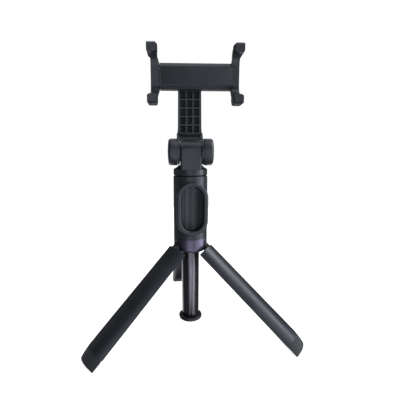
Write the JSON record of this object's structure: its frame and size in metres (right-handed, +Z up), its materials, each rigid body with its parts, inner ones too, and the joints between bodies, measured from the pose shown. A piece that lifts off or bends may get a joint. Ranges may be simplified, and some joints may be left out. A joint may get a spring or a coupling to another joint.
{
  "type": "selfie stick",
  "caption": "Pocket selfie stick that opens into a small tripod, with a telescopic column, a tilting neck, a swivelling sprung phone clamp and an empty cradle for a remote",
  "frame": {"origin": "on the ground, under the centre of the bounding box of the open tripod", "axes": "+Z up along the column; -Y is the front, which the remote cradle looks toward; +X is to the right seen from the front; the head is turned 4 degrees clockwise seen from above"},
  "size_m": [0.1646, 0.1457, 0.2316],
  "materials": {
    "handle_plastic": "fine-grained matte black",
    "head_plastic": "fine-grained satin black",
    "satin_plastic": "soft satin black",
    "rubber": "moulded matte",
    "ring_aluminium": "violet-grey anodised, satin",
    "post_aluminium": "dark violet-grey anodised, drawn",
    "rod_aluminium": "dark anodised, drawn",
    "glide_plastic": "natural acetal",
    "steel": "zinc plated"
  },
  "bodies": {
    "handle": {"hub_core": "handle_plastic", "hub_ring": "ring_aluminium", "hub_screws": "steel", "leg_pins": "steel", "post_tube": "post_aluminium", "post_cap": "handle_plastic", "body_shell": "handle_plastic", "remote_cradle": "satin_plastic", "top_bush": "handle_plastic"},
    "left_leg": {"leg_left": "handle_plastic", "foot_left": "rubber"},
    "right_leg": {"leg_right": "handle_plastic", "foot_right": "rubber"},
    "rear_leg": {"leg_rear": "handle_plastic", "foot_rear": "rubber"},
    "stage_1": {"rod_1": "rod_aluminium", "rod_1_glide": "glide_plastic", "rod_1_ring": "handle_plastic"},
    "stage_2": {"rod_2": "rod_aluminium", "rod_2_glide": "glide_plastic", "rod_2_ring": "handle_plastic"},
    "stage_3": {"rod_3": "rod_aluminium", "rod_3_glide": "glide_plastic", "rod_3_ring": "handle_plastic"},
    "stage_4": {"rod_4": "rod_aluminium", "rod_4_glide": "glide_plastic"},
    "head": {"head_base": "head_plastic"},
    "tilt_neck": {"neck": "head_plastic", "tilt_bolt": "steel", "tilt_nut": "steel", "tilt_washers": "satin_plastic", "hinge_cap_left": "satin_plastic", "hinge_cap_right": "satin_plastic"},
    "clamp": {"clamp_back": "head_plastic", "clamp_front": "head_plastic", "rest_pad": "rubber", "clamp_screws": "steel", "fixed_jaw_pads": "rubber", "swivel_screw": "steel", "swivel_nut": "steel", "swivel_washer": "steel", "jaw_springs": "steel"},
    "jaw": {"sliding_jaw": "head_plastic", "sliding_jaw_pads": "rubber", "guide_rods": "steel"}
  },
  "joints": [
    {"name": "left_leg_fold", "type": "hinge", "parent": "handle", "child": "left_leg", "pos_m": [-0.00857, -0.02462, 0.07437], "axis": [0.5, -0.866, 0], "range_deg": [0, 48.8]},
    {"name": "right_leg_fold", "type": "hinge", "parent": "handle", "child": "right_leg", "pos_m": [0.00857, -0.02462, 0.07437], "axis": [0.5, 0.866, 0], "range_deg": [0, 48.8]},
    {"name": "rear_leg_fold", "type": "hinge", "parent": "handle", "child": "rear_leg", "pos_m": [0, -0.00977, 0.07437], "axis": [-1, 0, 0], "range_deg": [0, 48.8]},
    {"name": "stage_1_slide", "type": "slide", "parent": "handle", "child": "stage_1", "axis": [0, 0, 1], "range_m": [0, 0.08]},
    {"name": "stage_2_slide", "type": "slide", "parent": "stage_1", "child": "stage_2", "axis": [0, 0, 1], "range_m": [0, 0.08]},
    {"name": "stage_3_slide", "type": "slide", "parent": "stage_2", "child": "stage_3", "axis": [0, 0, 1], "range_m": [0, 0.08]},
    {"name": "stage_4_slide", "type": "slide", "parent": "stage_3", "child": "stage_4", "axis": [0, 0, 1], "range_m": [0, 0.08]},
    {"name": "head_turn", "type": "hinge", "parent": "stage_4", "child": "head", "pos_m": [0, -0.01967, 0.13176], "axis": [0, 0, 1], "continuous": true},
    {"name": "neck_tilt", "type": "hinge", "parent": "head", "child": "tilt_neck", "pos_m": [-0.00035, -0.02466, 0.14797], "axis": [0.9976, -0.0698, 0], "range_deg": [-45, 180]},
    {"name": "clamp_swivel", "type": "hinge", "parent": "tilt_neck", "child": "clamp", "pos_m": [0.00114, -0.00331, 0.20877], "axis": [0.0698, 0.9976, 0], "continuous": true},
    {"name": "jaw_slide", "type": "slide", "parent": "clamp", "child": "jaw", "axis": [-0.9976, 0.0698, 0], "range_m": [0, 0.033], "stiffness_N_per_m": 147, "springref_m": -0.027, "deforming": ["jaw_springs"]}
  ]
}
